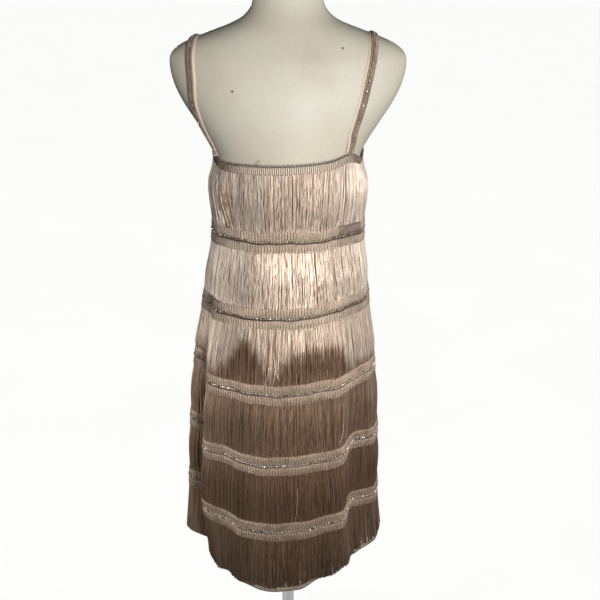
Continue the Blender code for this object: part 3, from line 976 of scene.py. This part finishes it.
def lock_centres(rng, total, layer):
    """Places along a tier where a layer's strands gather in locks."""
    step = LOCK_STEP + LOCK_WIDENS * layer
    centres = np.arange(0, total + step, step)
    return centres + rng.normal(0, step * 0.3, len(centres))


def fall_share(down, crest):
    """How far out strands stand: 0 at their ends, and 1 at their crest."""
    return np.where(
        down < crest,
        0.5 - 0.5 * np.cos(np.pi * down / crest),
        0.5 + 0.5 * np.cos(np.pi * (down - crest) / (1 - crest)),
    )


def layer_strands(rng, number, layer, top, foot, lengths, bearings):
    """The paths, bearings and tones of one layer of a tier's strands."""
    last = number == LAST
    total = lengths[-1]
    down = STRAND_STATIONS[None, :]
    count = int(total / STRAND_PITCHES[layer])
    places = (np.arange(count) + 0.5 + rng.normal(0, 0.28, count)) * total / count
    centres = lock_centres(rng, total, layer)
    nearest = centres[np.abs(places[:, None] - centres[None]).argmin(axis=1)]
    pull = (0.10 + 0.32 * rng.random(count))[:, None]
    start = np.interp(places, lengths, bearings)
    parted = caught = np.zeros((count, 1))
    if last:
        parted = smooth(1 - np.abs(start - LOCKS[0]) / LOCKS[1])[:, None]
        pull = pull + (0.96 - pull) * parted
    if number == 1:
        caught = smooth(1 - np.abs(start - SWEPT[0]) / SWEPT[1])[:, None]
    lean = 0.0012 * soft_noise(rng, places, 0.03) + rng.normal(0, 0.0006, count)
    grip = down ** 0.8 if last else np.sin(np.pi * down) ** 0.7
    sway = down if last else np.sin(np.pi * down * 0.5)
    turns = down * rng.uniform(1.0, 3.0, (count, 1)) + rng.random((count, 1))
    wave = CRIMPS[number - 1] * np.sin(2 * np.pi * turns) * np.sin(np.pi * np.minimum(down, 0.5))
    along = places[:, None] + (nearest - places)[:, None] * pull * grip
    along = along + lean[:, None] * sway + wave + SWEPT[2] * caught * down ** 2
    at = np.interp(along, lengths, bearings)

    crest = crest_place(number, at[:, :1])
    reach = SLACK
    if number == 3:
        reach = CREST_SLACK[0] + CREST_SLACK[1] * np.clip(0.8 - crest, 0, 0.6)
    crest = np.clip(crest + rng.normal(0, 0.035, (count, 1)), 0.08, 0.95)
    slack = reach * rng.uniform(0.6, 1.2, (count, 1)) * (0.6 + 0.2 * layer)
    if number == 1:
        slack = slack * (1 - 0.7 * np.abs(np.cos(np.radians(at))) ** 3)
    out = STRAND_OUTS[layer] + slack * (down if last else fall_share(down, crest))
    ragged = 0.0016 * soft_noise(rng, places, 0.012)[:, None]
    drop = ragged + rng.normal(0, 0.0012, (count, 1)) if last else 0.0
    heights = top(at) * (1 - down) + (foot(at) + drop) * down

    spread = TONE_SPREADS[number - 1]
    # Each strand's tone: the tier's painted sheen or shade, a random spread, and painted shade that
    # darkens the inner layers behind the outer ones
    shade = TIER_SHEEN_AND_SHADE[number - 1] + spread * (rng.normal(0, 1, (count, 1)) - 0.7 * (2 - layer))
    if number == 3:
        # painted shade under the third tier's crest
        shade = shade - CREST_SHADE * np.clip((down - crest) / 0.10, 0, 1)
    shade = shade + PARTED_TONE * parted * np.sin(900 * nearest)[:, None] * down
    # painted shade in the creases of the caught locks
    shade = shade - CAUGHT_SHADE * caught * rng.uniform(0.1, 1.5, (count, 1)) * (0.35 + 0.65 * down)
    return cloth(at, heights, out), at, np.broadcast_to(shade, at.shape)


def strand_paths(number, side):
    """Paths of a tier's strands, (strands, stations, 3), from all its layers, with their radii,
    outward directions and tones."""
    rng = np.random.default_rng(SEEDS["fringe"] + 10 * number + SIDES.index(side))
    top, foot = tier_edges(number)
    arc = arc_bearings(side_range(side), lambda bearing: (top(bearing) + foot(bearing)) / 2)
    blocks = [
        layer_strands(rng, number, layer, top, foot, *arc) for layer in range(len(STRAND_OUTS))
    ]
    blocks.append(stray_paths(number, side, top, foot))
    paths, at, tones = (np.concatenate([block[k] for block in blocks]) for k in range(3))
    facing = round_points(np.radians(at), 1.0, 1.0, 0.0)
    return paths, STRAND_RADIUS * rng.uniform(0.8, 1.15, (len(paths), 1)), facing, tones


def stray_paths(number, side, top, foot):
    """The single strands that have come away from a tier, as paths, bearings and tones."""
    start, end = side_range(side)
    down = STRAND_STATIONS
    strays = [stray for stray in STRAYS if stray[0] == number and start <= stray[1] < end]
    paths, bearings = np.zeros((len(strays), len(down), 3)), np.zeros((len(strays), len(down)))
    for i, (_, from_bearing, from_share, to_bearing, to_share, out) in enumerate(strays):
        at = from_bearing + (to_bearing - from_bearing) * down ** 1.8
        share = from_share + (to_share - from_share) * down
        heights = top(at) * (1 - share) + foot(at) * share
        paths[i] = cloth(at, heights, out + 0.0015 * np.sin(np.pi * down))
        bearings[i] = at
    return paths, bearings, np.ones((len(strays), len(down)))


def add_fringe(number, side):
    """A tier's strands as one piece, each a closed three-sided tube."""
    paths, radii, facing, tones = strand_paths(number, side)
    sides = 3
    points, faces = tube_arrays(paths, radii, facing, sides)
    tones = np.repeat(np.clip(tones, 0, 1), sides)
    piece = add_mesh(f"strands_{number}_{side}", points, faces, [FRINGE], tone=tones)
    return keep(piece, [f"fringe_{number}_{side}"])


# -------- straps


def even_steps(path, step):
    """Points a step apart along a path, and how far along it they are."""
    lengths = np.linalg.norm(np.diff(path, axis=0), axis=1)
    lengths = np.concatenate([[0.0], np.cumsum(lengths)])
    at = np.linspace(0, lengths[-1], int(lengths[-1] / step))
    return np.stack([np.interp(at, lengths, path[:, k]) for k in range(3)], axis=-1), at


def strap_frames(surface, back_bearing, front_bearing, knots):
    """Points on the form under the strap's middle, a step apart, with its outward and sideways
    directions."""
    ends = [
        cloth(bearing, neck_height(bearing) + 0.001) for bearing in (back_bearing, front_bearing)
    ]
    knots = np.array([ends[0], *knots, ends[1]])
    fine = np.linspace(0, len(knots) - 1, 600)
    path = np.stack([curve(np.arange(len(knots)), knots[:, k], fine) for k in range(3)], axis=-1)
    path, at = even_steps(path, STRAP_STEP)
    along = unit(np.gradient(path, axis=0))
    near, normals = np.empty_like(path), np.empty_like(path)
    for i, point in enumerate(path):
        near[i], normals[i], _, _ = surface.find_nearest(Vector(point))
    kernel = np.ones(9) / 9
    padded = np.pad(normals, ((4, 4), (0, 0)), mode="edge")
    normals = unit(np.stack([np.convolve(padded[:, k], kernel, "valid") for k in range(3)], -1))
    normals = unit(normals - along * (normals * along).sum(axis=1, keepdims=True))
    across = unit(np.cross(normals, along))
    height = ((path - near) * normals).sum(axis=1)
    from_end = np.minimum(at, at[-1] - at)
    blend = np.clip(from_end / 0.03, 0, 1)
    lift = STRAP_GAP + (1 - blend) * np.maximum(height - STRAP_GAP, 0)
    return near + normals * lift[:, None], normals, across


def strap_points(frames, index, sideways, lift):
    """Points over the strap: index may be fractional, sideways is from -1 to 1."""
    count = len(frames[0])
    index = np.clip(index, 0, count - 1)
    low = np.minimum(index.astype(int), count - 2)
    share = (index - low)[..., None]
    middle, normals, across = (at[low] * (1 - share) + at[low + 1] * share for at in frames)
    sideways, lift = (np.broadcast_to(value, index.shape)[..., None] for value in (sideways, lift))
    return middle + across * sideways * STRAP_HALF + normals * (lift - 0.0009 * sideways ** 2)


def add_strap(name, surface):
    """A strap's lining, tape and two bands of gimp as one piece, and its beads as another."""
    frames = strap_frames(surface, *STRAPS[name])
    normals, last = frames[1], len(frames[0]) - 1
    inner_side = -1.0 if name == "left" else 1.0

    def strip(edges, high, low):
        sideways = sorted((inner_side * edge for edge in edges), reverse=True)
        grid = np.meshgrid(np.arange(last + 1.0), sideways, indexing="ij")
        return wall_arrays(strap_points(frames, *grid, high), strap_points(frames, *grid, low))

    parts = [
        (*strip((-1.0, -0.4, 0.4, 1.14), 0.0008, 0.0002), 2),
        (*strip((-0.97, 0.0, STRAP_TURN), 0.0013, 0.0009), 1),
    ]
    for band, edges in enumerate(((-0.98, -0.14), (0.14, STRAP_TURN))):
        low, high = sorted(inner_side * edge for edge in edges)
        places, heights = serpentine(last // 2, SEEDS["strap"] + band)
        index = places * 2
        sideways = low + 0.08 + (high - low - 0.16) * heights
        path = strap_points(frames, index, sideways, 0.0019 + 0.0005 * np.sin(np.pi * heights))
        facing = normals[np.clip(index.astype(int), 0, last)]
        parts.append((*tube_arrays(path[None], STRAP_CORD, facing[None], 4), 0))
    piece = add_parts(f"strap_gimp_{name}", parts, [STRAP_GIMP_SHADED, BACKING_GAP_SHADE, LINING], full_tones)
    keep(piece, [f"strap_{name}"])

    centres = strap_points(frames, np.arange(1, last, 0.6 * BEAD_PITCH / STRAP_STEP), 0.0, 0.0031)
    # most of the strap's beads take the painted glint colour
    beads = bead_arrays(centres, STRAP_BEAD, SEEDS["strap_beads"] + len(name), 0.8)
    index = np.arange(0, last, 1.5)
    path = strap_points(frames, index, 0.0, 0.0019)
    # the strap's bead cord, dark as painted shade under the beads
    cord = tube_arrays(path[None], 0.0013, normals[index.astype(int)][None], 6)
    add_bead_line(f"strap_beads_{name}", beads, cord)


# -------- room, lights, camera


def add_floor():
    sides, radius = 96, 40.0
    turn = 2 * np.pi * np.arange(sides) / sides
    points = round_points(turn, radius, radius, 0.0)
    faces = [np.arange(sides)[None, :]]
    floor = add_mesh("floor", points, faces, [floor_material()], rounded=False)
    floor.visible_diffuse = False
    floor.visible_glossy = False
    return floor


def add_lamp(name, place, target, power, soft, wide):
    """A soft spot that is brightest along its aim and fades to the sides."""
    data = bpy.data.lights.new(name, "SPOT")
    data.energy = power
    data.color = (1.0, 0.985, 0.96)
    data.shadow_soft_size = soft
    data.spot_size = np.radians(wide)
    data.spot_blend = 1.0
    light = add_object(name, data)
    light.location = place
    aim = Vector(target) - Vector(place)
    light.rotation_euler = aim.to_track_quat("-Z", "Y").to_euler()
    return light


def add_floor_light(floor):
    """A broad light for the floor alone, so that it stays pale under a dim room."""
    data = bpy.data.lights.new("floor_light", "SUN")
    data.energy = 3.45
    data.angle = 0.5
    light = add_object("floor_light", data)
    light.rotation_euler = (0.15, 0.1, 0.0)
    only = bpy.data.collections.new("floor_only")
    only.objects.link(floor)
    light.light_linking.receiver_collection = only


def leave_floor_out(lamps, floor):
    """Keeps the lamps off the floor, which has its own light."""
    others = bpy.data.collections.new("all_but_floor")
    others.objects.link(floor)
    others.collection_objects[0].light_linking.link_state = "EXCLUDE"
    for lamp in lamps:
        lamp.light_linking.receiver_collection = others


def add_world():
    """Near white where the camera sees it, and a dim room for everything else."""
    world = bpy.data.worlds.new("studio")
    bpy.context.scene.world = world
    world.use_nodes = True
    tree = world.node_tree
    background = tree.nodes["Background"]
    background.inputs["Color"].default_value = (1.0, 1.0, 1.0, 1.0)
    path = tree.nodes.new("ShaderNodeLightPath")
    strength = 0.05
    for ray, value in (("Is Glossy Ray", 0.02), ("Is Camera Ray", 0.97)):
        mix = tree.nodes.new("ShaderNodeMix")
        mix.inputs[3].default_value = value
        if isinstance(strength, float):
            mix.inputs[2].default_value = strength
        else:
            tree.links.new(strength, mix.inputs[2])
        tree.links.new(path.outputs[ray], mix.inputs[0])
        strength = mix.outputs[0]
    tree.links.new(strength, background.inputs["Strength"])


CAMERA_PLACE = (0.0, 1.5, 1.479)
CAMERA_PITCH = 21.43  # degrees below the horizon
CAMERA_LENS = 50.4


def add_camera():
    data = bpy.data.cameras.new("camera")
    data.lens = CAMERA_LENS
    data.sensor_width = 36.0
    data.shift_x = 0.02
    data.clip_end = 200.0
    camera = add_object("camera", data)
    camera.location = CAMERA_PLACE
    camera.rotation_euler = (np.radians(90 - CAMERA_PITCH), 0.0, np.radians(180))
    bpy.context.scene.camera = camera


add_camera()
bpy.context.scene.view_settings.view_transform = "Standard"
add_world()
floor = add_floor()
add_floor_light(floor)
# name, place, target, power, size, cone
lamps = (
    add_lamp("key", (-0.40, 1.73, 1.36), (0.0, 0.1, 1.17), 158.0, 0.16, 78.0),
    add_lamp("front", (0.30, -1.9, 1.36), (0.0, -0.1, 1.10), 120.0, 0.3, 90.0),
    add_lamp("front_left", (1.8, -1.2, 1.5), (0.0, 0.0, 1.1), 35.0, 0.4, 90.0),
    add_lamp("front_right", (-1.8, -1.2, 1.5), (0.0, 0.0, 1.1), 35.0, 0.4, 90.0),
    add_lamp("left", (2.2, 0.15, 0.70), (0.1, 0.0, 0.36), 82.0, 0.3, 42.0),
    add_lamp("right", (-2.2, 0.2, 1.05), (-0.1, 0.0, 0.62), 48.0, 0.3, 66.0),
)
leave_floor_out(lamps, floor)

form_surface = add_form()
add_stand()
for side in SIDES:
    sewn = [add_neck_gimp(side)]
    for number in range(2, 7):
        sewn += [add_row_gimp(number, side), add_beads(number, side)]
    for number in range(1, 7):
        sewn.append(add_fringe(number, side))
    panel = add_cloth(side)
for name in STRAPS:
    add_strap(name, form_surface)
